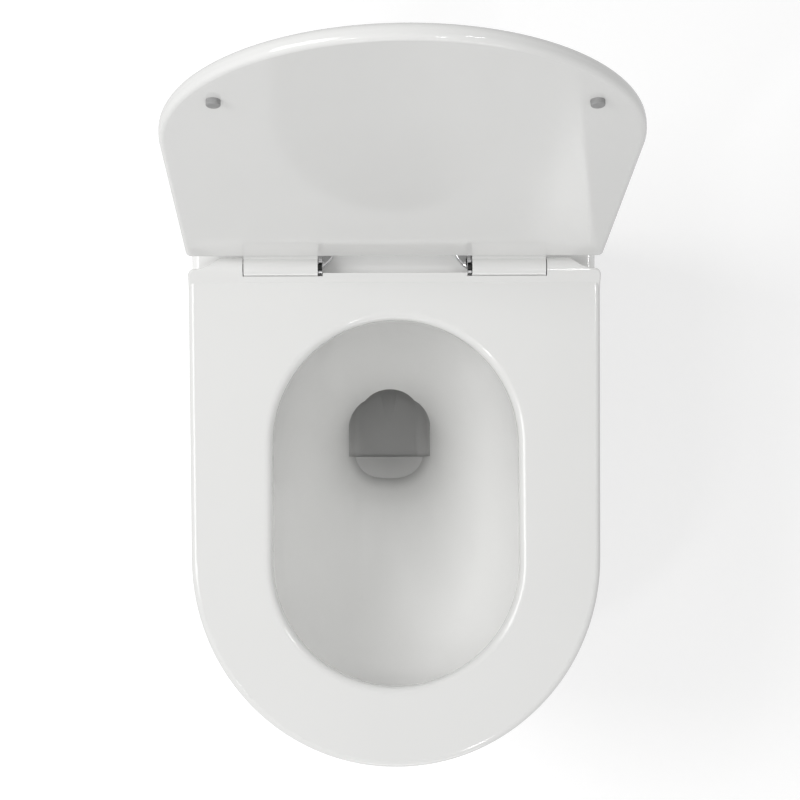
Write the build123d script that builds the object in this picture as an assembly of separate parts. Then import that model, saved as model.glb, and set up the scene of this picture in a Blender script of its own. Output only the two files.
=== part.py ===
from build123d import *
import os
from math import copysign, cos, pi, radians, sin

# Wall hung toilet: a vitreous china pan with a slim seat and lid on quick-release soft-close hinges.
# Millimetres. +Z is up, +Y points into the wall, the nose of the pan points along -Y.
# The origin is on the wall plane, midway between the two wall fixing holes.
# At rest the seat is down and the lid stands open, leaning back a little past upright.

# Hinge axis, shared by the seat and the lid
AXIS_TO_WALL = 105.0
DECK_Z = 82.0
AXIS_ABOVE_DECK = 20.0
AXIS_Y = -AXIS_TO_WALL
AXIS_Z = DECK_Z + AXIS_ABOVE_DECK
LID_OPEN_DEG = 100.9

# Plan outline of the seat, measured from the hinge axis
SEAT_HALF_AT_AXIS = 180.0
SEAT_HALF_AT_SIDE = 176.9
SEAT_SIDE = 254.0
SEAT_NOSE = 177.7
ROUND_HANDLE = 0.5523

# Seat section
SEAT_TOP = 2.0
SEAT_THICK = 16.5
SEAT_EDGE_R = 5.0
SEAT_FOOT_R = 3.0
LUG_EDGE_R = 1.5
OPENING_R = 106.9
OPENING_REAR = 45.6
OPENING_STRAIGHT = 103.9
OPENING_EDGE_R = 7.0
OPENING_FOOT_R = 3.0

# Hinge bar along the rear of the seat
BAR_R = 9.0
RAMP_START = 13.5
RAMP_END = 5.0
WINDOW_HALF = 67.0
WINDOW_REAR = 5.5
LUG_SHOULDER_X = 148.5
SHOULDER_STEP = 0.3
LUG_FOOT_X = 174.0
LUG_FOOT_Y = -1.5
CORNER_R = 5.9

# Lid
LID_UNDER = 6.45
LID_THICK = 13.0
LID_REAR = 9.7
LID_MARGIN = 1.2
LID_UNDER_R = 4.0
LID_TOP_R = 6.0
LID_CORNER_R = 5.0
WEB_STEP = 3.0
WEB_SINK = 2.0
WEB_BACK_DEG = 34.0

# Barrels, axles, dampers and bushes
BARREL_IN_X = 67.3
BARREL_OUT_X = 131.6
BARREL_GAP = 0.8
AXLE_R = 3.5
AXLE_IN_X = 63.6
AXLE_OUT_X = 149.0
RUN_FIT = 0.05
DAMPER_R = 6.3
LID_DAMPER_LENGTH = 50.0
LID_BUSH_LENGTH = 16.0
SEAT_DAMPER_LENGTH = 15.0
SEAT_BUSH_LENGTH = 13.0
LUG_BORE_DEPTH = 17.5
DAMPER_WAIST = 0.8
DAMPER_INSET = 2.0

# Deck fixings of the hinges
FIXING_X = 77.5
FIXING_BACK = 23.5
DECK_HOLE_R = 7.5
DECK_HOLE_DEPTH = 46.0
PAD_R = 24.0
PAD_THICK = 1.0
BASE_R = 24.0
BASE_THICK = 3.0
POST_R = 5.0
BASE_CHAMFER = 1.0
POST_HEIGHT = 12.0
POST_ROUND = 1.2
POST_NECK = 2.5
POST_NECK_IN = 0.8
POST_NECK_DOWN = 4.5
ROSETTE_R = 26.5
ROSETTE_HEIGHT = 5.5
ROSETTE_EDGE_R = 2.4
ROSETTE_WALL = 1.2
SCREW_R = 3.0
SCREW_HEAD_R = 4.2
SCREW_HEAD_HEIGHT = 3.0
SCREW_HEX_R = 2.3
SCREW_SPARE = 2.0
SLEEVE_LENGTH = 36.0
ANCHOR_NUT_HEIGHT = 6.0
ANCHOR_NUT_R = 5.8
SLIP = 0.2

# Quick-release hinge block
BLOCK_R = 13.0
BLOCK_TOP = -2.0
BLOCK_TAIL = 21.0
TAIL_HALF = 8.0
BLOCK_EDGE_R = 1.5
EAR_THICK = 3.0
EAR_R = 7.0
BUTTON_Z = -8.5
BUTTON_R = 4.6
BUTTON_OUT = 3.0
BUTTON_HEAD = 6.0
BUTTON_TRAVEL = 2.5
BUTTON_ROUND = 0.8
STEM_R = 2.2
CHAMBER_DEPTH = 12.0
SPRING_WIRE_R = 0.4
SPRING_R = 3.4
SPRING_TURNS = 3

# Buffers
SEAT_BUFFER_R = 8.0
SEAT_BUFFER_X = 140.0
SEAT_BUFFER_FRONT = 310.0
SEAT_BUFFER_REAR = 60.0
LID_BUFFER_R = 5.15
LID_BUFFER_X = 132.4
LID_BUFFER_OUT = 337.3
BUFFER_SEAT_GAP = 0.25
BUFFER_SINK = 2.0
BUFFER_ROUND = 1.2

# Pan, outside: height, half width at the wall, half width where the sides end, end of sides, tip
RIM_BAND = 42.0
RIM_EDGE_R = 7.0
PAN_SECTIONS = [
    (DECK_Z - RIM_BAND, 180.0, 175.5, 359.0, 535.0),
    (15.0, 180.0, 175.0, 358.0, 533.5),
    (-35.0, 177.0, 169.0, 346.0, 516.0),
    (-90.0, 169.0, 155.0, 316.0, 474.0),
    (-145.0, 158.0, 136.0, 272.0, 414.0),
    (-195.0, 144.0, 114.0, 220.0, 346.0),
    (-235.0, 130.0, 94.0, 176.0, 290.0),
    (-258.0, 120.0, 80.0, 150.0, 250.0),
]

# Pan, inside: height, half width, rear, front and squareness of each oval
BASIN_SECTIONS = [
    (DECK_Z + 6.0, 121.5, 131.0, 489.0, 2.35),
    (DECK_Z - 12.0, 121.0, 132.5, 488.0, 2.35),
    (30.0, 117.0, 138.0, 480.0, 2.35),
    (-25.0, 102.0, 152.0, 450.0, 2.30),
    (-80.0, 78.0, 174.0, 396.0, 2.25),
    (-125.0, 55.0, 196.0, 338.0, 2.30),
    (-160.0, 42.0, 208.0, 296.0, 2.50),
    (-178.0, 36.0, 212.0, 284.0, 2.60),
]
OVAL_POINTS = 24

# Trapway from the sump over the weir to the outlet
THROAT_HALF = 41.0
THROAT_TOP = -138.0
THROAT_BOTTOM = -184.0
THROAT_REAR = -186.0
THROAT_FRONT = -262.0
THROAT_R = 14.0
TRAP_R = 30.0
TRAP_BEND_R = 36.0
TRAP_PATH = [(-225.0, -154.0), (-172.0, -156.0), (-120.0, -64.0), (-62.0, -100.0), (-40.0, -100.0)]
OUTLET_Z = -100.0
SPIGOT_R = 51.0
SPIGOT_BORE_R = 43.0
SPIGOT_LENGTH = 50.0
SPIGOT_GROOVE_R = 62.0
OUTLET_BORE_DEPTH = 70.0
INLET_Z = 35.0
INLET_R = 27.5
INLET_DEPTH = 60.0
FLUSH_R = 20.0

# Wall fixings
WALL_HALF_SPACING = 90.0
WALL_HOLE_R = 11.0
FLANGE_THICK = 60.0
POCKET_DEPTH = 62.0
POCKET_HALF = 29.0
POCKET_IN_X = 62.0
POCKET_R = 10.0
STUD_BORE_R = 6.5
SLEEVE_R = 10.8
SLEEVE_FLANGE_R = 16.5
SLEEVE_FLANGE = 3.0
WASHER_R = 14.0
WASHER_THICK = 2.5
WALL_NUT_BORE_R = 6.05
WALL_NUT_R = 10.9
WALL_NUT_HEIGHT = 10.0
CAP_WALL = 1.8
CAP_LENGTH = 26.0
CAP_ROUND = 5.0
CAP_FIT = 0.1


def at_axis(shape):
    """Move a shape drawn round the hinge axis to its place on the pan."""
    return Pos(0, AXIS_Y, AXIS_Z) * shape


def d_plan(half_axis, half_side, side, nose, rear):
    """Plan outline with tapering straight sides and a round nose, drawn forward from y = 0."""
    taper = (half_axis - half_side) / side
    half_rear = half_axis + taper * rear
    tip = -side - nose
    lean = taper * ROUND_HANDLE * nose
    with BuildSketch() as plan:
        with BuildLine():
            Line((-half_rear, rear), (half_rear, rear))
            Line((half_rear, rear), (half_side, -side))
            Bezier(
                (half_side, -side),
                (half_side - lean, -side - ROUND_HANDLE * nose),
                (ROUND_HANDLE * half_side, tip),
                (0, tip),
            )
            Bezier(
                (0, tip),
                (-ROUND_HANDLE * half_side, tip),
                (lean - half_side, -side - ROUND_HANDLE * nose),
                (-half_side, -side),
            )
            Line((-half_side, -side), (-half_rear, rear))
        make_face()
    return plan.sketch


def seat_plan(margin, rear):
    """The seat's outline, grown by a margin all round."""
    return d_plan(
        SEAT_HALF_AT_AXIS + margin,
        SEAT_HALF_AT_SIDE + margin,
        SEAT_SIDE,
        SEAT_NOSE + margin,
        rear,
    )


def oval(half_width, rear, front, squareness):
    """Closed oval between a rear and a front distance from the wall."""
    middle = -(rear + front) / 2
    half_depth = (front - rear) / 2
    points = []
    for step in range(OVAL_POINTS):
        angle = 2 * pi * step / OVAL_POINTS
        x = copysign(abs(cos(angle)) ** (2 / squareness), cos(angle))
        y = copysign(abs(sin(angle)) ** (2 / squareness), sin(angle))
        points.append((half_width * x, middle + half_depth * y))
    with BuildSketch() as outline:
        with BuildLine():
            Spline(*points, periodic=True)
        make_face()
    return outline.sketch


def along_x(radius, start, end):
    """Cylinder on the hinge axis from one x to another."""
    middle = (start + end) / 2
    return Pos(middle, 0, 0) * Rot(0, 90, 0) * Cylinder(radius, abs(end - start))


def along_y(radius, start, end):
    """Cylinder along Y from one y to another, centred on x = 0, z = 0."""
    middle = (start + end) / 2
    return Pos(0, middle, 0) * Rot(90, 0, 0) * Cylinder(radius, abs(end - start))


def upright(radius, bottom, top):
    """Cylinder along Z from one height to another."""
    return Pos(0, 0, (bottom + top) / 2) * Cylinder(radius, top - bottom)


def block(x0, x1, y0, y1, z0, z1):
    """Box between two corners."""
    return Pos((x0 + x1) / 2, (y0 + y1) / 2, (z0 + z1) / 2) * Box(x1 - x0, y1 - y0, z1 - z0)


def group(pieces):
    """Separate solids that share a node."""
    return Compound(children=list(pieces))


def pan_shell():
    """Outside of the china pan: an upright rim band over a body that draws in towards the wall."""
    sections = []
    for height, half_wall, half_side, side, tip in PAN_SECTIONS:
        taper_run = side
        outline = d_plan(half_wall, half_side, taper_run, tip - side, 0)
        sections.append(Pos(0, 0, height) * outline)
    body = loft(Sketch() + sections)
    band_height, half_wall, half_side, side, tip = PAN_SECTIONS[0]
    band = extrude(d_plan(half_wall, half_side, side, tip - side, 0), RIM_BAND)
    band = Pos(0, 0, band_height) * band
    return body, band


def bowl():
    body, band = pan_shell()
    top_edges = band.edges().filter_by(lambda e: e.center().Z > DECK_Z - 1 and e.center().Y < -1)
    band = fillet(top_edges, RIM_EDGE_R)
    china = body + band

    ovals = [Pos(0, 0, z) * oval(half, rear, front, sq) for z, half, rear, front, sq in BASIN_SECTIONS]
    basin = loft(Sketch() + ovals)
    throat = block(-THROAT_HALF, THROAT_HALF, THROAT_FRONT, THROAT_REAR, THROAT_BOTTOM, THROAT_TOP)
    throat = fillet(throat.edges().filter_by(Axis.Y), THROAT_R)
    path = FilletPolyline(*[(0, y, z) for y, z in TRAP_PATH], radius=TRAP_BEND_R)
    start = Plane(origin=path @ 0, z_dir=path % 0)
    trap = sweep(start * Circle(TRAP_R), path=path)
    outlet = Pos(0, 0, OUTLET_Z) * along_y(SPIGOT_BORE_R, -OUTLET_BORE_DEPTH, 1)
    inlet = Pos(0, 0, INLET_Z) * along_y(INLET_R, -INLET_DEPTH, 1)
    flush = Pos(0, 0, INLET_Z) * along_y(FLUSH_R, -150, -INLET_DEPTH + 1)
    china = china - basin - throat - trap - outlet - inlet - flush

    groove = along_y(SPIGOT_GROOVE_R, -SPIGOT_LENGTH, 1) - along_y(SPIGOT_R, -SPIGOT_LENGTH, 1)
    china -= Pos(0, 0, OUTLET_Z) * groove

    for side in (-1, 1):
        china -= Pos(side * WALL_HALF_SPACING, 0, 0) * along_y(WALL_HOLE_R, -FLANGE_THICK - 1, 1)
        pocket = block(
            POCKET_IN_X, 200, -FLANGE_THICK - POCKET_DEPTH, -FLANGE_THICK, -POCKET_HALF, POCKET_HALF
        )
        pocket = fillet(pocket.edges().filter_by(Axis.X), POCKET_R)
        china -= pocket if side > 0 else mirror(pocket, about=Plane.YZ)
        hole = upright(DECK_HOLE_R, DECK_Z - DECK_HOLE_DEPTH, DECK_Z + 1)
        china -= Pos(side * FIXING_X, AXIS_Y + FIXING_BACK, 0) * hole
    return china


def seat_profile():
    """Side section of the seat: flat top, a ramp up to a round crest on the axis, flat underside."""
    bottom = SEAT_TOP - SEAT_THICK
    crest = (BAR_R**2 - RAMP_END**2) ** 0.5
    beyond = -SEAT_SIDE - 2 * SEAT_NOSE
    with BuildSketch(Plane.YZ) as profile:
        with BuildLine():
            Polyline(
                (beyond, SEAT_TOP),
                (-RAMP_START, SEAT_TOP),
                (-RAMP_END, crest),
                (0, 0),
                (0, -BAR_R),
                (-RAMP_END, bottom),
                (beyond, bottom),
                close=True,
            )
        make_face()
        Circle(BAR_R)
    return profile.sketch


def seat_outline():
    """Plan of the seat: straight hinge lug, S-curve, round rear corner, tapering side and nose."""
    taper = (SEAT_HALF_AT_AXIS - SEAT_HALF_AT_SIDE) / SEAT_SIDE
    corner = (SEAT_HALF_AT_AXIS + taper * LUG_FOOT_Y, LUG_FOOT_Y)
    tip = -SEAT_SIDE - SEAT_NOSE
    handle = ROUND_HANDLE * SEAT_NOSE
    s_run = LUG_FOOT_X - LUG_SHOULDER_X
    with BuildSketch() as plan:
        with BuildLine():
            Line((0, BAR_R + SHOULDER_STEP), (LUG_SHOULDER_X, BAR_R + SHOULDER_STEP))
            Spline(
                (LUG_SHOULDER_X, BAR_R + SHOULDER_STEP),
                (LUG_SHOULDER_X + 0.3 * s_run, 0.6 * BAR_R),
                (LUG_SHOULDER_X + 0.68 * s_run, 0),
                (LUG_FOOT_X, LUG_FOOT_Y),
                tangents=[(1, 0), (1, 0)],
            )
            Line((LUG_FOOT_X, LUG_FOOT_Y), corner)
            Line(corner, (SEAT_HALF_AT_SIDE, -SEAT_SIDE))
            Bezier(
                (SEAT_HALF_AT_SIDE, -SEAT_SIDE),
                (SEAT_HALF_AT_SIDE - taper * handle, -SEAT_SIDE - handle),
                (ROUND_HANDLE * SEAT_HALF_AT_SIDE, tip),
                (0, tip),
            )
            Line((0, tip), (0, BAR_R + SHOULDER_STEP))
        make_face()
        fillet(plan.vertices().sort_by_distance(corner)[0], CORNER_R)
        mirror(about=Plane.YZ)
    return plan.sketch


def seat_opening():
    """The oval hole through the seat."""
    length = OPENING_STRAIGHT + 2 * OPENING_R
    hole = extrude(SlotOverall(length, 2 * OPENING_R, rotation=90), 40, both=True)
    return Pos(0, -OPENING_REAR - length / 2, 0) * hole


def is_upright(edge):
    """True for an edge that runs straight up."""
    return abs((edge @ 0).X - (edge @ 1).X) + abs((edge @ 0).Y - (edge @ 1).Y) < 0.01


def near_opening(edge):
    """True for an edge of the seat's oval opening."""
    middle = edge @ 0.5
    front = -OPENING_REAR - OPENING_STRAIGHT - 2 * OPENING_R
    return abs(middle.X) < OPENING_R + 0.1 and front - 0.1 < middle.Y < -OPENING_REAR + 0.1


def seat_notches():
    """Room for the lid's barrels, the ears of the hinge blocks and the window between them."""
    inner = AXLE_IN_X - BARREL_GAP
    outer = BARREL_OUT_X + BARREL_GAP
    room = block(-WINDOW_HALF, WINDOW_HALF, -WINDOW_REAR, 2 * BAR_R, -SEAT_THICK, SEAT_THICK)
    for start, end in ((inner, outer), (-outer, -inner)):
        room += along_x(BAR_R + BARREL_GAP, start, end)
        room += block(start, end, 0, 2 * BAR_R, -SEAT_THICK, SEAT_THICK)
    return room


def level_edges(shape, height):
    """Edges that lie flat at one height."""
    return shape.edges().filter_by(lambda e: abs((e @ 0).Z - height) + abs((e @ 1).Z - height) < 0.01)


def seat_ring():
    """Slim seat: one profile cut to the plan, with rounded edges, the opening and the hinge lugs."""
    bottom = SEAT_TOP - SEAT_THICK
    ring = extrude(seat_profile(), 2 * SEAT_HALF_AT_AXIS, both=True)
    ring &= extrude(seat_outline(), 2 * SEAT_THICK, both=True)
    top = level_edges(ring, SEAT_TOP)
    ring = fillet(top.filter_by(lambda e: (e @ 0.5).Y < -RAMP_START - 1), SEAT_EDGE_R)
    rear = ring.edges().filter_by(lambda e: (e @ 0.5).Y > -RAMP_START + 0.01 and (e @ 0.5).Z > 1.5)
    rear = rear.filter_by(lambda e: abs((e @ 0.5).X) > LUG_SHOULDER_X and e.length > 0.5)
    ring = fillet(rear.filter_by(lambda e: not is_upright(e)), LUG_EDGE_R)
    under = level_edges(ring, bottom).filter_by(lambda e: (e @ 0.5).Y < -RAMP_END - 1)
    ring = fillet(under, SEAT_FOOT_R)
    ring -= seat_opening()
    mouth = level_edges(ring, SEAT_TOP).filter_by(near_opening)
    ring = fillet(mouth, OPENING_EDGE_R)
    foot = level_edges(ring, bottom).filter_by(near_opening)
    ring = fillet(foot, OPENING_FOOT_R)
    ring -= seat_notches()
    bore_end = BARREL_OUT_X + LUG_BORE_DEPTH
    for start, end in ((BARREL_OUT_X, bore_end), (-bore_end, -BARREL_OUT_X)):
        ring -= along_x(DAMPER_R + RUN_FIT, start, end)
    return ring


def lid_barrel_profile():
    """Section of one lid barrel with the web that joins it to the rear of the closed lid."""
    top = LID_UNDER + LID_THICK
    with BuildSketch(Plane.YZ) as profile:
        Circle(BAR_R)
        with BuildLine():
            Polyline(
                (-LID_REAR - WEB_SINK, LID_UNDER + WEB_STEP),
                (-LID_REAR - WEB_SINK, top - WEB_STEP / 2),
                (-LID_REAR, top - WEB_STEP / 2),
                (BAR_R * sin(radians(WEB_BACK_DEG)), BAR_R * cos(radians(WEB_BACK_DEG))),
                (0, 0),
                close=True,
            )
        make_face()
    return profile.sketch


def lid():
    """Flat lid with two barrels, drawn closed."""
    plate = Pos(0, 0, LID_UNDER) * extrude(seat_plan(LID_MARGIN, -LID_REAR), LID_THICK)
    corners = plate.edges().filter_by(Axis.Z)
    corners = corners.filter_by(lambda e: abs(e.center().Y + LID_REAR) < 0.01)
    plate = fillet(corners, LID_CORNER_R)
    top = LID_UNDER + LID_THICK
    plate = fillet(plate.edges().filter_by(lambda e: abs(e.center().Z - top) < 0.01), LID_TOP_R)
    plate = fillet(plate.edges().filter_by(lambda e: abs(e.center().Z - LID_UNDER) < 0.01), LID_UNDER_R)
    barrel_long = BARREL_OUT_X - BARREL_IN_X
    barrel = extrude(lid_barrel_profile(), barrel_long)
    for start in (BARREL_IN_X, -BARREL_OUT_X):
        plate += Pos(start, 0, 0) * barrel
        plate -= along_x(DAMPER_R + RUN_FIT, start - 1, start + barrel_long + 1)
    socket = upright(LID_BUFFER_R, LID_UNDER - 1, LID_UNDER + BUFFER_SINK)
    for side in (-1, 1):
        plate -= Pos(side * LID_BUFFER_X, -LID_BUFFER_OUT, 0) * socket
    return plate


def open_lid(shape):
    """Turn a shape drawn on the closed lid to the open rest place."""
    return Rot(-LID_OPEN_DEG, 0, 0) * shape


def seat_buffers():
    """Four rubber buffers seated on the underside of the seat."""
    bottom = SEAT_TOP - SEAT_THICK
    pad = upright(SEAT_BUFFER_R, BUFFER_SEAT_GAP - AXIS_ABOVE_DECK, bottom)
    pad = fillet(pad.edges().sort_by(Axis.Z)[0], BUFFER_ROUND)
    places = [
        (side * SEAT_BUFFER_X, -out) for side in (-1, 1) for out in (SEAT_BUFFER_REAR, SEAT_BUFFER_FRONT)
    ]
    return group([at_axis(Pos(x, y, 0) * pad) for x, y in places])


def lid_buffers():
    """Two grey buffers on the underside of the lid, which land on the seat."""
    pad = upright(LID_BUFFER_R, SEAT_TOP + BUFFER_SEAT_GAP, LID_UNDER + BUFFER_SINK)
    pad = fillet(pad.edges().sort_by(Axis.Z)[0], BUFFER_ROUND)
    pads = [Pos(side * LID_BUFFER_X, -LID_BUFFER_OUT, 0) * pad for side in (-1, 1)]
    return group([at_axis(open_lid(piece)) for piece in pads])


def sleeve_on_axle(length, start, waist_share):
    """Damper housing or bush round the axle, with a shallow waist along part of its length."""
    body = along_x(DAMPER_R, start, start + length)
    edge = (1 - waist_share) / 2 * length
    waist = along_x(DAMPER_R + 1, start + edge, start + length - edge)
    waist -= along_x(DAMPER_R - DAMPER_WAIST, start, start + length)
    return body - waist - along_x(AXLE_R + RUN_FIT, start - 1, start + length + 1)


def right_fixing(shape):
    """Move a shape drawn round a deck fixing, with z = 0 on the deck, to the right-hand fixing."""
    return Pos(FIXING_X, AXIS_Y + FIXING_BACK, DECK_Z) * shape


def deck_pad():
    """Soft pad between the china and the foot of the hinge."""
    return upright(PAD_R, 0, PAD_THICK) - upright(SCREW_R + SLIP, -1, PAD_THICK + 1)


def base_plate():
    """Round foot with the necked post that the quick-release block drops over."""
    plate = upright(BASE_R, PAD_THICK, PAD_THICK + BASE_THICK)
    plate = chamfer(plate.edges().group_by(Axis.Z)[-1], BASE_CHAMFER)
    top = PAD_THICK + BASE_THICK + POST_HEIGHT
    post = upright(POST_R, PAD_THICK, top)
    post = fillet(post.edges().group_by(Axis.Z)[-1], POST_ROUND)
    neck = upright(POST_R + 1, top - POST_NECK_DOWN - POST_NECK, top - POST_NECK_DOWN)
    neck -= upright(POST_R - POST_NECK_IN, 0, top)
    plate = plate + post - neck
    plate -= upright(SCREW_R + SLIP, 0, top + 1)
    return plate - upright(SCREW_HEAD_R, top - SCREW_HEAD_HEIGHT, top + 1)


def rosette():
    """Chrome cover disc with a rounded edge over the foot of the hinge."""
    disc = upright(ROSETTE_R, 0, ROSETTE_HEIGHT)
    disc = fillet(disc.edges().group_by(Axis.Z)[-1], ROSETTE_EDGE_R)
    disc -= upright(BASE_R + SLIP, -1, ROSETTE_HEIGHT - ROSETTE_WALL)
    return disc - upright(POST_R + SLIP, -1, ROSETTE_HEIGHT + 1)


def anchor_screw():
    """Hexagon socket screw down through the post into the anchor."""
    top = PAD_THICK + BASE_THICK + POST_HEIGHT
    head = upright(SCREW_HEAD_R - RUN_FIT, top - SCREW_HEAD_HEIGHT, top)
    end = -SLEEVE_LENGTH - ANCHOR_NUT_HEIGHT - SCREW_SPARE
    screw = head + upright(SCREW_R, end, top - SCREW_HEAD_HEIGHT)
    socket = extrude(RegularPolygon(SCREW_HEX_R, 6), SCREW_HEAD_HEIGHT)
    return screw - Pos(0, 0, top - SCREW_HEAD_HEIGHT / 2) * socket


def anchor_sleeve():
    """Rubber sleeve that the nut squeezes wider inside the china."""
    outer = upright(DECK_HOLE_R - SLIP, -SLEEVE_LENGTH, 0)
    return outer - upright(SCREW_R + SLIP, -SLEEVE_LENGTH - 1, 1)


def anchor_nut():
    """Hexagon nut at the foot of the rubber sleeve."""
    nut = extrude(RegularPolygon(ANCHOR_NUT_R, 6), ANCHOR_NUT_HEIGHT)
    nut = Pos(0, 0, -SLEEVE_LENGTH - ANCHOR_NUT_HEIGHT) * nut
    return nut - upright(SCREW_R + RUN_FIT, -2 * SLEEVE_LENGTH, 0)


def hinge_block():
    """Chrome quick-release block round the post, with a hooked ear that carries the axle.

    Drawn round the hinge axis, right-hand side. The tail behind the post holds the release button.
    """
    bottom = ROSETTE_HEIGHT + SLIP - AXIS_ABOVE_DECK
    front = FIXING_BACK - BLOCK_R
    with BuildSketch() as plan:
        with Locations((FIXING_X, FIXING_BACK)):
            Circle(BLOCK_R)
        with Locations((FIXING_X, FIXING_BACK + BLOCK_TAIL / 2)):
            Rectangle(2 * TAIL_HALF, BLOCK_TAIL)
        with Locations(((AXLE_IN_X + FIXING_X) / 2, FIXING_BACK - BLOCK_R / 2)):
            Rectangle(FIXING_X - AXLE_IN_X, BLOCK_R)
    body = Pos(0, 0, bottom) * extrude(plan.sketch, BLOCK_TOP - bottom)
    body = fillet(body.edges().group_by(Axis.Z)[-1], BLOCK_EDGE_R)
    with BuildSketch(Plane.YZ) as ear:
        Circle(EAR_R)
        with Locations(((front + BLOCK_EDGE_R) / 2, (BLOCK_TOP - EAR_R) / 2 - BLOCK_EDGE_R / 2)):
            Rectangle(front + 2 * BLOCK_EDGE_R, EAR_R + BLOCK_TOP - BLOCK_EDGE_R)
        Circle(AXLE_R, mode=Mode.SUBTRACT)
        with Locations((0, EAR_R / 2)):
            Rectangle(2 * AXLE_R, EAR_R, mode=Mode.SUBTRACT)
    body += Pos(AXLE_IN_X, 0, 0) * extrude(ear.sketch, EAR_THICK)
    post_top = PAD_THICK + BASE_THICK + POST_HEIGHT + SLIP - AXIS_ABOVE_DECK
    body -= Pos(FIXING_X, FIXING_BACK, 0) * upright(POST_R + SLIP, bottom - 1, post_top)
    tail_end = FIXING_BACK + BLOCK_TAIL
    chamber = along_y(BUTTON_R + SLIP / 2, tail_end - CHAMBER_DEPTH, tail_end + 1)
    chamber += along_y(STEM_R + SLIP / 2, FIXING_BACK, tail_end)
    return body - Pos(FIXING_X, 0, BUTTON_Z) * chamber


def release_button():
    """Black push button with a stem that points at the neck of the post."""
    tail_end = FIXING_BACK + BLOCK_TAIL
    head_back = tail_end + BUTTON_OUT
    head = along_y(BUTTON_R, head_back - BUTTON_HEAD, head_back)
    head = fillet(head.edges().group_by(Axis.Y)[-1], BUTTON_ROUND)
    stem = along_y(STEM_R, FIXING_BACK + POST_R + BUTTON_TRAVEL + 2 * SLIP, head_back - BUTTON_HEAD)
    return Pos(FIXING_X, 0, BUTTON_Z) * (head + stem)


def release_spring():
    """Coil spring behind the button's head, round its stem."""
    tail_end = FIXING_BACK + BLOCK_TAIL
    floor = tail_end - CHAMBER_DEPTH + SPRING_WIRE_R
    top = tail_end + BUTTON_OUT - BUTTON_HEAD - SPRING_WIRE_R
    height = top - floor
    path = Helix(height / SPRING_TURNS, height, SPRING_R)
    wire = Plane(origin=path @ 0, z_dir=path % 0) * Circle(SPRING_WIRE_R)
    coil = sweep(wire, path=path, is_frenet=True)
    return Pos(FIXING_X, floor, BUTTON_Z) * Rot(-90, 0, 0) * coil


def wall_sleeve():
    """Plastic bush with a flange that keeps the wall stud off the china."""
    bush = along_y(SLEEVE_R, -FLANGE_THICK, 0)
    bush += along_y(SLEEVE_FLANGE_R, -FLANGE_THICK - SLEEVE_FLANGE, -FLANGE_THICK)
    return bush - along_y(STUD_BORE_R, -FLANGE_THICK - SLEEVE_FLANGE - 1, 1)


def wall_washer():
    front = -FLANGE_THICK - SLEEVE_FLANGE
    washer = along_y(WASHER_R, front - WASHER_THICK, front)
    return washer - along_y(STUD_BORE_R + SLIP, front - WASHER_THICK - 1, front + 1)


def wall_nut():
    back = -FLANGE_THICK - SLEEVE_FLANGE - WASHER_THICK
    nut = extrude(RegularPolygon(WALL_NUT_R, 6), WALL_NUT_HEIGHT)
    nut = Pos(0, back, 0) * Rot(90, 0, 0) * nut
    return nut - along_y(WALL_NUT_BORE_R, back - WALL_NUT_HEIGHT - 1, back + 1)


def wall_cap():
    """Cap that snaps on the sleeve's flange and hides the nut."""
    back = -FLANGE_THICK - SLEEVE_FLANGE / 3
    inner = SLEEVE_FLANGE_R + CAP_FIT
    cap = along_y(inner + CAP_WALL, back - CAP_LENGTH, back)
    cap = fillet(cap.edges().group_by(Axis.Y)[0], CAP_ROUND)
    return cap - along_y(inner, back - CAP_LENGTH + CAP_WALL, back + 1)


def both_sides(shape):
    """A right-hand shape and its mirror image as one node."""
    return group([shape, mirror(shape, about=Plane.YZ)])


def wall_pair(shape):
    """The same wall fixing piece on both fixing holes."""
    return group([Pos(side * WALL_HALF_SPACING, 0, 0) * shape for side in (-1, 1)])


def make_nodes():
    """Every node of the toilet by name."""
    nodes = {
        "bowl": bowl(),
        "seat_ring": at_axis(seat_ring()),
        "lid": at_axis(open_lid(lid())),
        "seat_buffers": seat_buffers(),
        "lid_buffers": lid_buffers(),
        "deck_pads": both_sides(right_fixing(deck_pad())),
        "anchor_screws": both_sides(right_fixing(anchor_screw())),
        "anchor_sleeves": both_sides(right_fixing(anchor_sleeve())),
        "anchor_nuts": both_sides(right_fixing(anchor_nut())),
        "wall_sleeves": wall_pair(wall_sleeve()),
        "wall_washers": wall_pair(wall_washer()),
        "wall_nuts": wall_pair(wall_nut()),
        "wall_caps": wall_pair(wall_cap()),
    }
    handed = {
        "rosette": right_fixing(rosette()),
        "base_plate": right_fixing(base_plate()),
        "hinge_block": at_axis(hinge_block()),
        "hinge_axle": at_axis(along_x(AXLE_R, AXLE_IN_X, AXLE_OUT_X)),
        "release_button": at_axis(release_button()),
        "release_spring": at_axis(release_spring()),
    }
    for name, shape in handed.items():
        nodes[name + "_right"] = shape
        nodes[name + "_left"] = mirror(shape, about=Plane.YZ)

    lug_start = BARREL_OUT_X + BARREL_GAP + RUN_FIT
    lid_damper = sleeve_on_axle(LID_DAMPER_LENGTH, BARREL_IN_X + DAMPER_INSET, 0.5)
    inner_bush = sleeve_on_axle(LID_BUSH_LENGTH, -BARREL_IN_X - DAMPER_INSET - LID_BUSH_LENGTH, 0.3)
    outer_bush = sleeve_on_axle(LID_BUSH_LENGTH, DAMPER_INSET - BARREL_OUT_X, 0.3)
    seat_damper = sleeve_on_axle(SEAT_DAMPER_LENGTH, lug_start, 0.5)
    seat_bush = sleeve_on_axle(SEAT_BUSH_LENGTH, -lug_start - SEAT_BUSH_LENGTH, 0.3)
    nodes["lid_damper"] = at_axis(open_lid(lid_damper))
    nodes["lid_bushes"] = group([at_axis(inner_bush), at_axis(outer_bush)])
    nodes["seat_damper"] = at_axis(seat_damper)
    nodes["seat_bush"] = at_axis(seat_bush)
    return nodes


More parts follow.
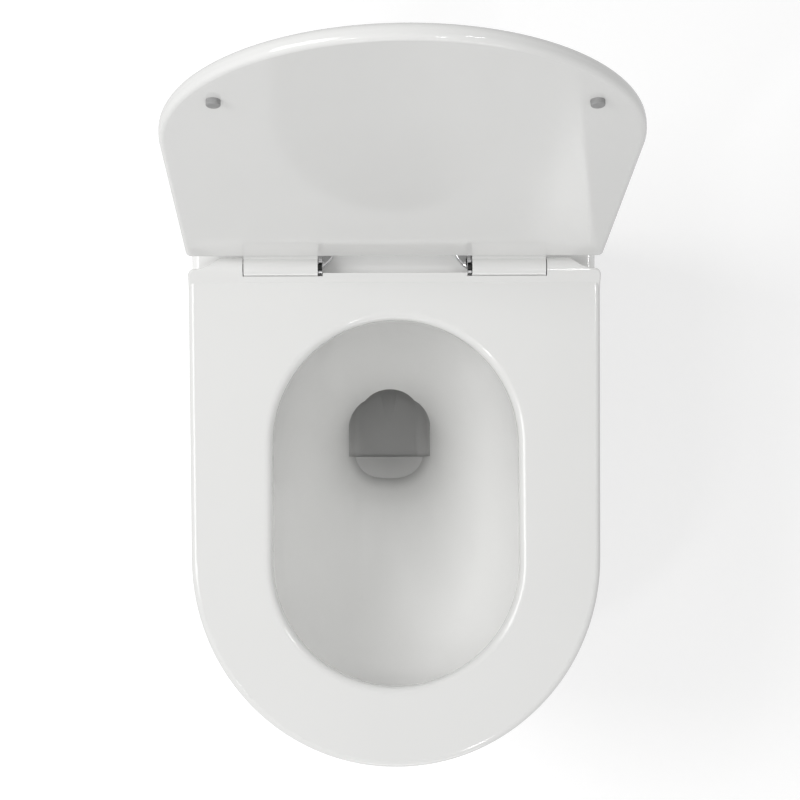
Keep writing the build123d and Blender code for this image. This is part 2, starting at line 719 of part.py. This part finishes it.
os.makedirs("parts", exist_ok=True)
for node_name, node_shape in make_nodes().items():
    export_step(node_shape, f"parts/{node_name}.step")
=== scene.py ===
"""Wall hung toilet, dressed for a studio picture: glazed china pan, moulded seat and lid, chrome hinges."""

import logging
import math
from dataclasses import dataclass, field
from enum import Enum

import bpy
from mathutils import Matrix, Vector


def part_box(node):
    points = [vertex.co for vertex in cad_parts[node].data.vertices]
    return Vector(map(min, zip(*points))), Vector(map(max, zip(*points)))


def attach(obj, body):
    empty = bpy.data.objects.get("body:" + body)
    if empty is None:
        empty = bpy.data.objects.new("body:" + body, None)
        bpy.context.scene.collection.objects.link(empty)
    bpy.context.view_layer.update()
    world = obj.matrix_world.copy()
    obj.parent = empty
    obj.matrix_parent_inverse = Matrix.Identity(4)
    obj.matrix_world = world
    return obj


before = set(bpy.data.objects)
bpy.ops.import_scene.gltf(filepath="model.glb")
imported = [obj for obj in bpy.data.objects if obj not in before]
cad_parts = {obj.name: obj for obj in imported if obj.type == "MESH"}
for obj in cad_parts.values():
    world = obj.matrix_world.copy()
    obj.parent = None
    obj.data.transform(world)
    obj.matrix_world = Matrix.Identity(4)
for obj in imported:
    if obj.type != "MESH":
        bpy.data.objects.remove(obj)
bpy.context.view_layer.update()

LOG = logging.getLogger("wall_hung_toilet")

# Noise values between which a finish's colour goes from its darkest to its lightest
TONE_STOPS = (0.35, 0.65)
# Share by which the roughness drifts either way, and its patches' size beside the colour's
POLISH_DRIFT = 0.2
POLISH_PATCH = 0.4
# Y between which the glaze gives way to the raw back, in metres
GLAZE_ENDS = (-0.004, -0.002)
# Distance from the sump's middle, in reaches, over which the shade painted into the glaze fades out
PAINTED_SHADE_FADE = (0.40, 1.0)


class Gloss(Enum):
    """How polished a surface is, as the roughness its shader takes."""

    GLAZE = 0.07
    MOULDED = 0.10
    SATIN = 0.32
    MATT = 0.55


@dataclass(frozen=True)
class Finish:
    """A named surface finish, made as one node material.

    Attributes:
        name: name of the material.
        colour: base colour, linear RGB.
        gloss: how polished it is.
        metal: 1 for bare metal, 0 for anything else.
        tone_shift: how far the tone drifts from place to place, as a share of the colour.
        tone_size: size of the drifting patches, in metres.
        ripple: depth of the surface ripple, in metres.
        ripple_size: size of the ripple, in metres.
        raw_back: roughness of the face against the wall, where the glaze is wiped off; 0 for none.
        painted_shade_tone: share of the colour left at the sump's middle, where shade is painted into the
            glaze; 1 for no painted shade.
        painted_shade_middle: middle of the sump, where the painted shade is darkest.
        painted_shade_reach: how far the painted shade spreads along X, Y and Z.
    """

    name: str
    colour: tuple[float, float, float]
    gloss: Gloss
    metal: float = 0.0
    tone_shift: float = 0.02
    tone_size: float = 0.05
    ripple: float = 0.0
    ripple_size: float = 0.02
    raw_back: float = 0.0
    painted_shade_tone: float = 1.0
    painted_shade_middle: tuple[float, float, float] = (0.0, -0.225, -0.200)
    painted_shade_reach: tuple[float, float, float] = (0.090, 0.110, 0.060)

    def material(self) -> bpy.types.Material:
        """Make the material, or give it back where it is already made.

        Returns:
            The node material of this finish.
        """
        known = bpy.data.materials.get(self.name)
        if known is not None:
            return known
        made = bpy.data.materials.new(self.name)
        made.use_nodes = True
        tree = made.node_tree
        shader = tree.nodes["Principled BSDF"]
        shader.inputs["Metallic"].default_value = self.metal
        place = tree.nodes.new("ShaderNodeTexCoord").outputs["Object"]
        self._tone(tree, shader, place)
        self._polish(tree, shader, place)
        if self.ripple > 0:
            self._ripple(tree, shader, place)
        return made

    def _noise(self, tree: bpy.types.NodeTree, place: bpy.types.NodeSocket, size: float,
               detail: float) -> bpy.types.NodeSocket:
        """Add a noise texture whose patches have a real size.

        Args:
            tree: node tree to add to.
            place: socket that gives the position.
            size: size of one patch, in metres.
            detail: octaves of finer noise.

        Returns:
            The noise node's factor socket.
        """
        noise = tree.nodes.new("ShaderNodeTexNoise")
        noise.inputs["Scale"].default_value = 1.0 / size
        noise.inputs["Detail"].default_value = detail
        tree.links.new(place, noise.inputs["Vector"])
        return noise.outputs["Fac"]

    def _tone(self, tree: bpy.types.NodeTree, shader: bpy.types.Node, place: bpy.types.NodeSocket) -> None:
        """Let the colour drift a little from place to place, and paint shade into it towards the sump if
        asked.

        Args:
            tree: node tree to add to.
            shader: the surface shader.
            place: socket that gives the position.
        """
        ramp = tree.nodes.new("ShaderNodeValToRGB")
        low = [c * (1 - self.tone_shift) for c in self.colour]
        high = [min(1.0, c * (1 + self.tone_shift)) for c in self.colour]
        for stop, position, colour in zip(ramp.color_ramp.elements, TONE_STOPS, (low, high)):
            stop.position = position
            stop.color = (*colour, 1.0)
        tree.links.new(self._noise(tree, place, self.tone_size, 2.0), ramp.inputs["Fac"])
        if self.painted_shade_tone == 1:
            tree.links.new(ramp.outputs["Color"], shader.inputs["Base Color"])
            return
        # Painted shade: the colour is scaled down towards the sump's middle, darkening the glaze where the
        # deep throat is in shade.
        centred = tree.nodes.new("ShaderNodeMapping")
        centred.inputs["Location"].default_value = [
            -middle / reach for middle, reach in zip(self.painted_shade_middle, self.painted_shade_reach)]
        centred.inputs["Scale"].default_value = [1 / reach for reach in self.painted_shade_reach]
        tree.links.new(place, centred.inputs["Vector"])
        away = tree.nodes.new("ShaderNodeVectorMath")
        away.operation = "LENGTH"
        tree.links.new(centred.outputs["Vector"], away.inputs[0])
        depth = tree.nodes.new("ShaderNodeMapRange")
        depth.interpolation_type = "SMOOTHSTEP"
        depth.inputs["From Min"].default_value = PAINTED_SHADE_FADE[0]
        depth.inputs["From Max"].default_value = PAINTED_SHADE_FADE[1]
        depth.inputs["To Min"].default_value = self.painted_shade_tone
        tree.links.new(away.outputs["Value"], depth.inputs["Value"])
        shaded = tree.nodes.new("ShaderNodeVectorMath")
        shaded.operation = "SCALE"
        tree.links.new(ramp.outputs["Color"], shaded.inputs["Vector"])
        tree.links.new(depth.outputs["Result"], shaded.inputs["Scale"])
        tree.links.new(shaded.outputs["Vector"], shader.inputs["Base Color"])

    def _polish(self, tree: bpy.types.NodeTree, shader: bpy.types.Node, place: bpy.types.NodeSocket) -> None:
        """Let the roughness drift a little about the finish's own value, and roughen a raw back.

        Args:
            tree: node tree to add to.
            shader: the surface shader.
            place: socket that gives the position.
        """
        span = tree.nodes.new("ShaderNodeMapRange")
        span.inputs["To Min"].default_value = self.gloss.value * (1 - POLISH_DRIFT)
        span.inputs["To Max"].default_value = self.gloss.value * (1 + POLISH_DRIFT)
        tree.links.new(self._noise(tree, place, self.tone_size * POLISH_PATCH, 3.0), span.inputs["Value"])
        if self.raw_back == 0:
            tree.links.new(span.outputs["Result"], shader.inputs["Roughness"])
            return
        split = tree.nodes.new("ShaderNodeSeparateXYZ")
        tree.links.new(place, split.inputs["Vector"])
        back = tree.nodes.new("ShaderNodeMapRange")
        back.inputs["From Min"].default_value = GLAZE_ENDS[0]
        back.inputs["From Max"].default_value = GLAZE_ENDS[1]
        tree.links.new(split.outputs["Y"], back.inputs["Value"])
        mix = tree.nodes.new("ShaderNodeMix")
        mix.inputs["B"].default_value = self.raw_back
        tree.links.new(back.outputs["Result"], mix.inputs["Factor"])
        tree.links.new(span.outputs["Result"], mix.inputs["A"])
        tree.links.new(mix.outputs["Result"], shader.inputs["Roughness"])

    def _ripple(self, tree: bpy.types.NodeTree, shader: bpy.types.Node, place: bpy.types.NodeSocket) -> None:
        """Add the slight unevenness that fired glaze or moulded resin has.

        Args:
            tree: node tree to add to.
            shader: the surface shader.
            place: socket that gives the position.
        """
        bump = tree.nodes.new("ShaderNodeBump")
        bump.inputs["Strength"].default_value = 1.0
        bump.inputs["Distance"].default_value = self.ripple
        tree.links.new(self._noise(tree, place, self.ripple_size, 1.0), bump.inputs["Height"])
        tree.links.new(bump.outputs["Normal"], shader.inputs["Normal"])


# The china's colour is painted darker towards the sump: painted shade standing in for the dark of the deep
# throat.
CHINA = Finish("glazed_china", (0.91, 0.91, 0.90), Gloss.GLAZE, tone_shift=0.006, tone_size=0.09,
               ripple=0.00012, ripple_size=0.04, raw_back=0.7, painted_shade_tone=0.44)
RESIN = Finish("moulded_white_resin", (0.76, 0.76, 0.75), Gloss.MOULDED, tone_shift=0.005, tone_size=0.12,
               ripple=0.00003, ripple_size=0.04)
CHROME = Finish("polished_chrome", (0.80, 0.80, 0.81), Gloss.GLAZE, metal=1.0, tone_shift=0.01,
                tone_size=0.01)
GREY_RUBBER = Finish("grey_rubber", (0.30, 0.30, 0.30), Gloss.MATT, tone_shift=0.06, tone_size=0.003,
                     ripple=0.00005, ripple_size=0.0015)
BLACK_RUBBER = Finish("black_rubber", (0.04, 0.04, 0.04), Gloss.MATT, tone_shift=0.1, tone_size=0.003)
BLACK_NYLON = Finish("black_nylon", (0.02, 0.02, 0.02), Gloss.SATIN, tone_shift=0.1, tone_size=0.002,
                     ripple=0.00003, ripple_size=0.001)
DARK_ACETAL = Finish("dark_acetal", (0.10, 0.10, 0.10), Gloss.SATIN, tone_shift=0.08, tone_size=0.004)
GREY_ACETAL = Finish("grey_acetal", (0.55, 0.55, 0.55), Gloss.SATIN, tone_shift=0.04, tone_size=0.004)
ZINC = Finish("zinc_plated_steel", (0.60, 0.60, 0.62), Gloss.SATIN, metal=1.0, tone_shift=0.08,
              tone_size=0.003)
BRASS = Finish("turned_brass", (0.71, 0.55, 0.27), Gloss.SATIN, metal=1.0, tone_shift=0.06,
               tone_size=0.004)
WHITE_CAP = Finish("white_cap_plastic", (0.86, 0.86, 0.85), Gloss.SATIN, tone_shift=0.01, tone_size=0.02)


def dress(node: str, finish: Finish) -> None:
    """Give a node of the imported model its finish.

    Args:
        node: name of the node.
        finish: the finish it gets.
    """
    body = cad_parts[node]
    body.data.materials.clear()
    body.data.materials.append(finish.material())
    LOG.info("%s dressed as %s", node, finish.name)


@dataclass
class PhotoCamera:
    """The camera that took the picture.

    Attributes:
        place: where it stands.
        right: its right-hand direction.
        up: its upward direction.
        back: the direction away from what it looks at.
        lens_mm: focal length.
        sensor_mm: width of its sensor.
    """

    place: tuple[float, float, float] = (-0.03891, -0.31503, 1.62045)
    right: tuple[float, float, float] = (0.99959, -0.00678, 0.02760)
    up: tuple[float, float, float] = (0.00506, 0.99805, 0.06203)
    back: tuple[float, float, float] = (-0.02797, -0.06186, 0.99769)
    lens_mm: float = 78.756
    sensor_mm: float = 36.0

    def build(self) -> None:
        """Add the camera and make it the scene's own."""
        data = bpy.data.cameras.new("photo_camera")
        data.lens = self.lens_mm
        data.sensor_width = self.sensor_mm
        camera = bpy.data.objects.new("photo_camera", data)
        bpy.context.scene.collection.objects.link(camera)
        turn = Matrix((self.right, self.up, self.back)).transposed()
        camera.matrix_world = Matrix.Translation(Vector(self.place)) @ turn.to_4x4()
        bpy.context.scene.camera = camera


@dataclass(frozen=True)
class Lamp:
    """One rectangular studio lamp.

    Attributes:
        name: name of the lamp.
        place: where it hangs.
        aim: the point it faces.
        sides: its width and height, in metres.
        watts: its power.
    """

    name: str
    place: tuple[float, float, float]
    aim: tuple[float, float, float]
    sides: tuple[float, float]
    watts: float

    def build(self) -> None:
        """Hang the lamp and turn it to its aim."""
        data = bpy.data.lights.new(self.name, "AREA")
        data.shape = "RECTANGLE"
        data.size, data.size_y = self.sides
        data.energy = self.watts
        lamp = bpy.data.objects.new(self.name, data)
        bpy.context.scene.collection.objects.link(lamp)
        lamp.location = self.place
        lamp.rotation_euler = (Vector(self.place) - Vector(self.aim)).to_track_quat("Z", "Y").to_euler()


@dataclass
class Studio:
    """Floor, world and soft lamps.

    Attributes:
        floor_z: height of the floor.
        floor_half: half the floor's width, in metres.
        floor_behind: how far the floor reaches behind the wall plane.
        floor_paint: brightness of the floor's own colour.
        floor_matt: its roughness.
        floor_glow: glow that only the camera sees, so that the lit floor is white and its shadow stays.
        world_level: strength of the light from all round.
        lamps: the lamps, three of them small so that they mirror as bright windows.
    """

    floor_z: float = -0.34
    floor_half: float = 6.0
    floor_behind: float = 1.5
    floor_paint: float = 0.8
    floor_matt: float = 0.9
    world_level: float = 0.56
    floor_glow: float = 0.31
    lamps: tuple[Lamp, ...] = (
        Lamp("key", (-1.45, -0.05, 1.85), (0.0, -0.30, 0.0), (1.1, 1.1), 22.0),
        Lamp("front_low", (0.2, -2.3, 0.30), (0.0, -0.1, 0.25), (1.4, 0.5), 7.0),
        Lamp("window_left", (-0.75, -0.95, 2.1), (0.0, -0.30, 0.0), (0.10, 0.35), 3.0),
        Lamp("window_right", (0.85, 0.15, 1.9), (0.0, -0.30, 0.0), (0.06, 0.30), 2.0),
        Lamp("window_front", (0.45, -1.35, 1.9), (0.0, -0.30, 0.0), (0.10, 0.30), 2.0),
    )

    def build(self) -> None:
        """Build the floor, the world and the lamps, and show colours as they are."""
        bpy.context.scene.view_settings.view_transform = "Standard"
        self._world()
        self._floor()
        for lamp in self.lamps:
            lamp.build()

    def _world(self) -> None:
        """Set a plain pale world; the camera sees it white."""
        world = bpy.data.worlds.new("studio_world")
        bpy.context.scene.world = world
        world.use_nodes = True
        tree = world.node_tree
        shade = tree.nodes["Background"]
        shade.inputs["Color"].default_value = (1.0, 1.0, 1.0, 1.0)
        path = tree.nodes.new("ShaderNodeLightPath")
        level = tree.nodes.new("ShaderNodeMapRange")
        level.inputs["To Min"].default_value = self.world_level
        level.inputs["To Max"].default_value = 1.0
        tree.links.new(path.outputs["Is Camera Ray"], level.inputs["Value"])
        tree.links.new(level.outputs["Result"], shade.inputs["Strength"])

    def _floor(self) -> None:
        """Add the pale floor, seen as white and still shaded by the object."""
        bpy.ops.object.select_all(action="DESELECT")
        middle = (0, self.floor_behind - self.floor_half, self.floor_z)
        bpy.ops.mesh.primitive_plane_add(size=2 * self.floor_half, location=middle)
        floor = bpy.context.object
        floor.name = "studio_floor"
        made = bpy.data.materials.new("studio_floor_paint")
        made.use_nodes = True
        tree = made.node_tree
        shader = tree.nodes["Principled BSDF"]
        shader.inputs["Base Color"].default_value = (*[self.floor_paint] * 3, 1.0)
        shader.inputs["Roughness"].default_value = self.floor_matt
        shader.inputs["Emission Color"].default_value = (1.0, 1.0, 1.0, 1.0)
        path = tree.nodes.new("ShaderNodeLightPath")
        glow = tree.nodes.new("ShaderNodeMath")
        glow.operation = "MULTIPLY"
        glow.inputs[1].default_value = self.floor_glow
        tree.links.new(path.outputs["Is Camera Ray"], glow.inputs[0])
        tree.links.new(glow.outputs["Value"], shader.inputs["Emission Strength"])
        floor.data.materials.append(made)


@dataclass
class PressFace:
    """Ribbed thumb face on the head of one release button.

    Attributes:
        side: -1 for the left button, 1 for the right one.
        ribs: number of raised ribs across the face.
        rib_high: how far a rib stands above the head, in metres.
        spread: share of the head that the ribs cover, across and up.
        rib_share: a rib's height as a share of the step from rib to rib.
        edge_share: rounding of a rib's edges as a share of rib_high.
        edge_steps: facets of that rounding.
        smooth_below: angle up to which neighbouring facets are shaded as one, in degrees.
    """

    side: int
    ribs: int = 4
    rib_high: float = 0.0003
    spread: float = 0.62
    rib_share: float = 0.45
    edge_share: float = 0.6
    edge_steps: int = 3
    smooth_below: float = 35.0

    def build(self) -> None:
        """Model the ribs on the button's rear face and let them ride on the button."""
        word = "left" if self.side < 0 else "right"
        low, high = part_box(f"release_button_{word}")
        middle = (low + high) / 2
        width = (high.x - low.x) * self.spread
        step = (high.z - low.z) * self.spread / self.ribs
        ribs = []
        for number in range(self.ribs):
            height = middle.z + (number - (self.ribs - 1) / 2) * step
            ribs.append(self._rib((middle.x, high.y, height), width, step * self.rib_share))
        bpy.ops.object.select_all(action="DESELECT")
        for rib in ribs:
            rib.select_set(True)
        bpy.context.view_layer.objects.active = ribs[0]
        bpy.ops.object.join()
        ribs[0].name = f"press_face_{word}"
        ribs[0].data.materials.append(BLACK_NYLON.material())
        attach(ribs[0], f"button_{word}")
        LOG.info("press face %s built", word)

    def _rib(self, place: tuple[float, float, float], width: float, depth: float) -> bpy.types.Object:
        """Model one rib with rounded edges, half sunk in the button's head.

        Args:
            place: middle of the rib.
            width: length of the rib.
            depth: its height across.

        Returns:
            The rib, with its place in its mesh.
        """
        bpy.ops.object.select_all(action="DESELECT")
        bpy.ops.mesh.primitive_cube_add(size=1.0, location=place)
        rib = bpy.context.object
        rib.scale = (width, 2 * self.rib_high, depth)
        bpy.ops.object.transform_apply(location=True, rotation=True, scale=True)
        bpy.ops.object.mode_set(mode="EDIT")
        bpy.ops.mesh.select_all(action="SELECT")
        bpy.ops.mesh.bevel(offset=self.rib_high * self.edge_share, segments=self.edge_steps)
        bpy.ops.object.mode_set(mode="OBJECT")
        bpy.ops.object.shade_smooth_by_angle(angle=math.radians(self.smooth_below))
        return rib


@dataclass
class Toilet:
    """The whole object.

    Attributes:
        finishes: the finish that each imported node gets.
    """

    finishes: dict[str, Finish] = field(default_factory=lambda: {
        "bowl": CHINA, "seat_ring": RESIN, "lid": RESIN,
        "seat_buffers": GREY_RUBBER, "lid_buffers": GREY_RUBBER,
        "rosette_left": CHROME, "rosette_right": CHROME,
        "hinge_block_left": CHROME, "hinge_block_right": CHROME,
        "hinge_axle_left": BLACK_NYLON, "hinge_axle_right": BLACK_NYLON,
        "release_button_left": BLACK_NYLON, "release_button_right": BLACK_NYLON,
        "release_spring_left": ZINC, "release_spring_right": ZINC,
        "base_plate_left": ZINC, "base_plate_right": ZINC, "anchor_screws": ZINC, "anchor_nuts": BRASS,
        "anchor_sleeves": BLACK_RUBBER, "deck_pads": BLACK_RUBBER, "lid_damper": DARK_ACETAL,
        "seat_damper": DARK_ACETAL, "lid_bushes": GREY_ACETAL, "seat_bush": GREY_ACETAL,
        "wall_sleeves": GREY_ACETAL, "wall_washers": ZINC, "wall_nuts": ZINC, "wall_caps": WHITE_CAP,
    })

    def dress(self) -> None:
        """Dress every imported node."""
        for node, finish in self.finishes.items():
            dress(node, finish)


def main() -> None:
    """Build the picture in order."""
    logging.basicConfig(level=logging.INFO)
    PhotoCamera().build()
    Studio().build()
    Toilet().dress()
    for side in (-1, 1):
        PressFace(side).build()


if __name__ == "__main__":
    main()
